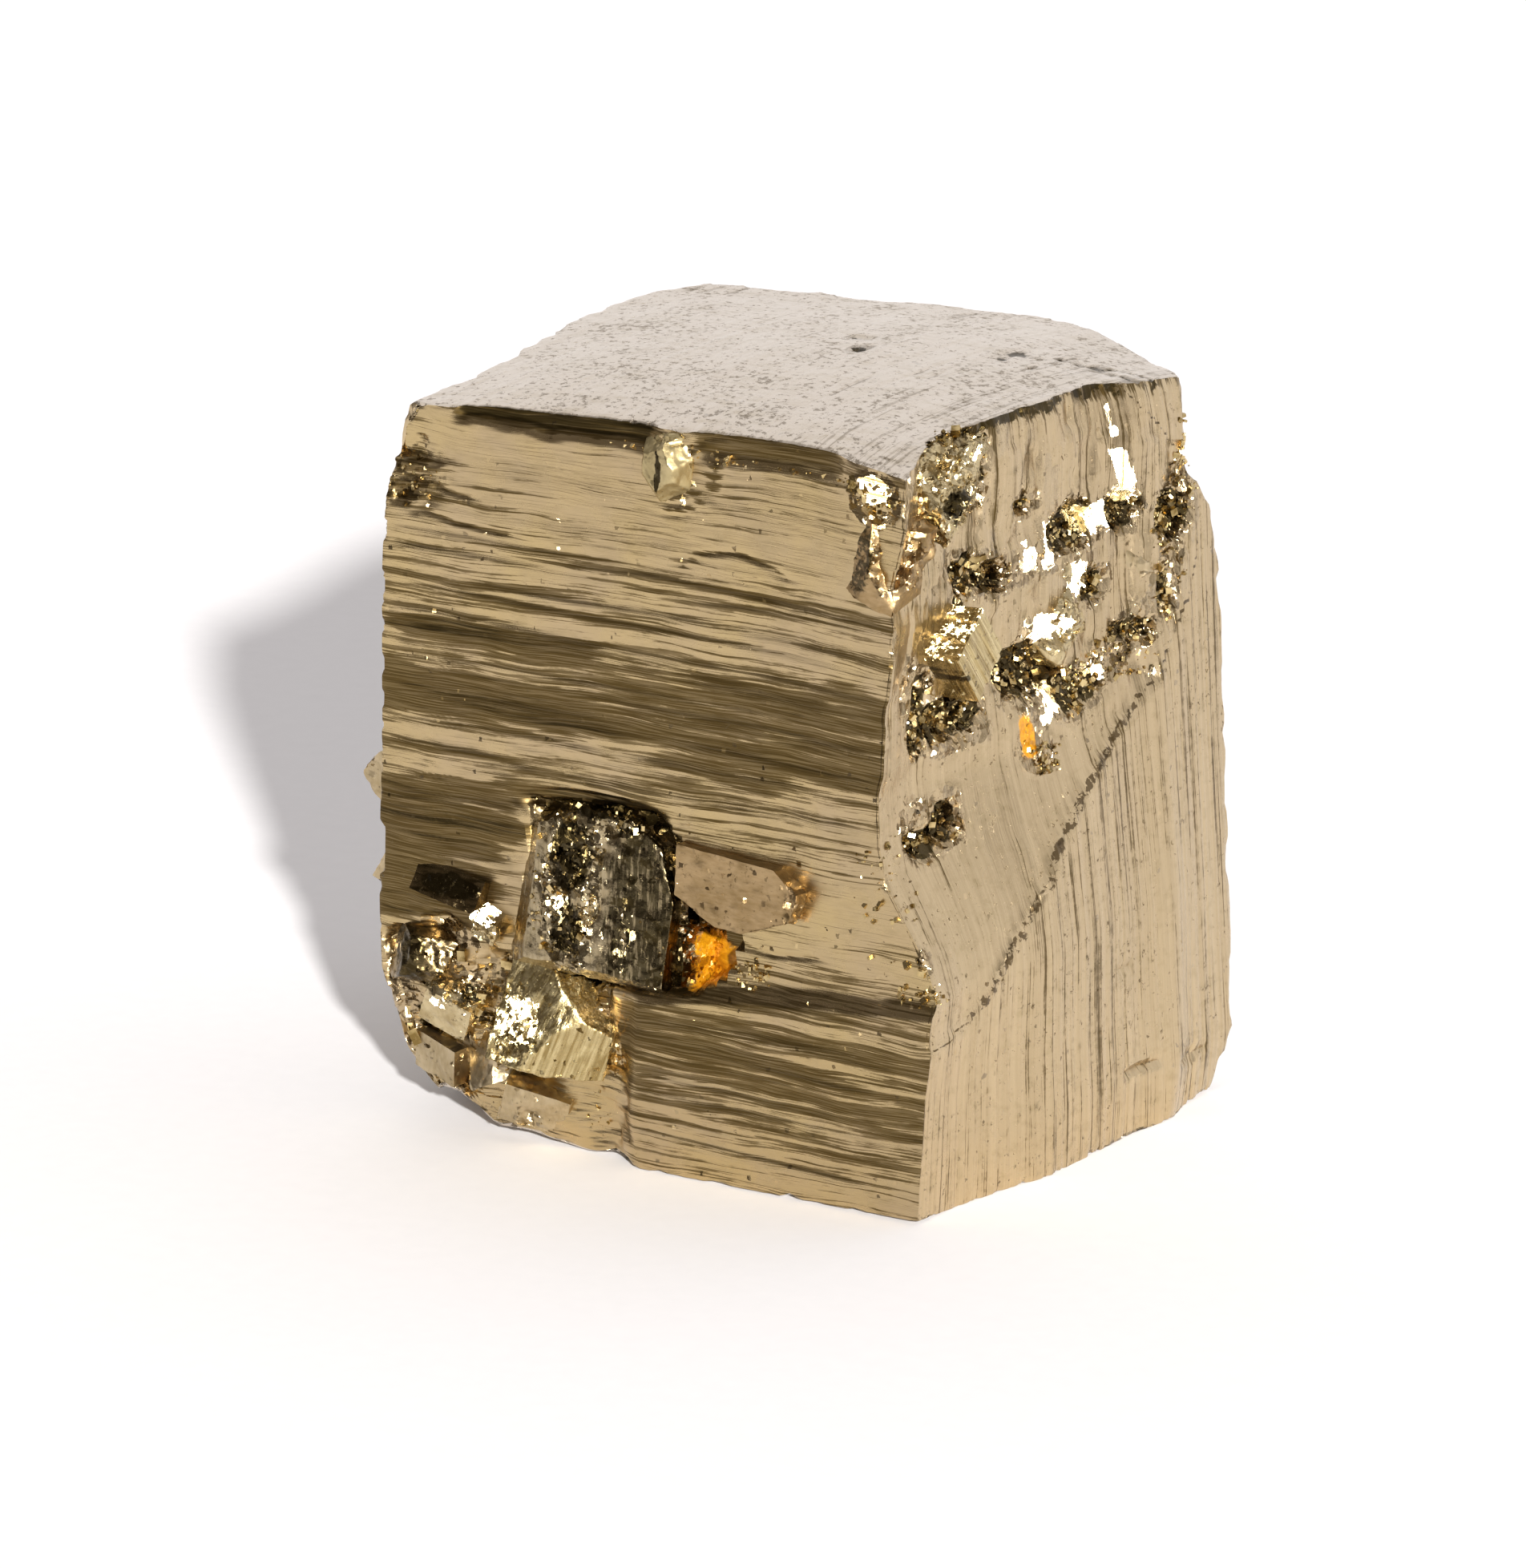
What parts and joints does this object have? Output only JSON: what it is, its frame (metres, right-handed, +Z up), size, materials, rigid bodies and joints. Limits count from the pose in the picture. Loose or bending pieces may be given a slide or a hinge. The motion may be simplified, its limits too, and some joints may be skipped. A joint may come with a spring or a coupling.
{
  "type": "pyrite specimen",
  "caption": "Striated cube of pyrite with smaller crystals grown into its front and right faces, standing on its flat underside.",
  "frame": {"origin": "middle of the underside of the specimen's box", "axes": "+Z up, the longest way; -Y the front face with level striations; +X the right face with upright striations"},
  "size_m": [0.0392, 0.0368, 0.0412],
  "materials": {
    "host_pyrite": "metallic lustre, brassy, finely striated and lightly tarnished",
    "dark_pyrite": "metallic lustre, dark tarnish, rough and sparkling",
    "pale_pyrite": "metallic lustre, pale brassy, clean smooth facets",
    "grey_pyrite": "metallic lustre, pinkish grey, satin facets"
  },
  "bodies": {
    "root": {"host_crystal": "host_pyrite", "dark_block_crystal": "dark_pyrite", "plate_crystal": "grey_pyrite", "pale_striated_crystal": "pale_pyrite", "dark_prism_crystal": "dark_pyrite", "glinting_cube_crystal": "pale_pyrite", "rough_lump_crystal": "dark_pyrite", "small_clustered_crystal": "pale_pyrite", "square_facet_crystal": "pale_pyrite", "grey_facet_crystal": "grey_pyrite", "foot_crystal": "grey_pyrite", "left_face_crystal": "pale_pyrite", "small_left_face_crystal": "grey_pyrite", "knob_crystal": "pale_pyrite", "edge_crystal": "dark_pyrite", "top_corner_crystal": "grey_pyrite", "tilted_cube_crystal": "pale_pyrite", "bright_stepped_crystal": "pale_pyrite", "rounded_crystal": "grey_pyrite"}
  },
  "joints": []
}
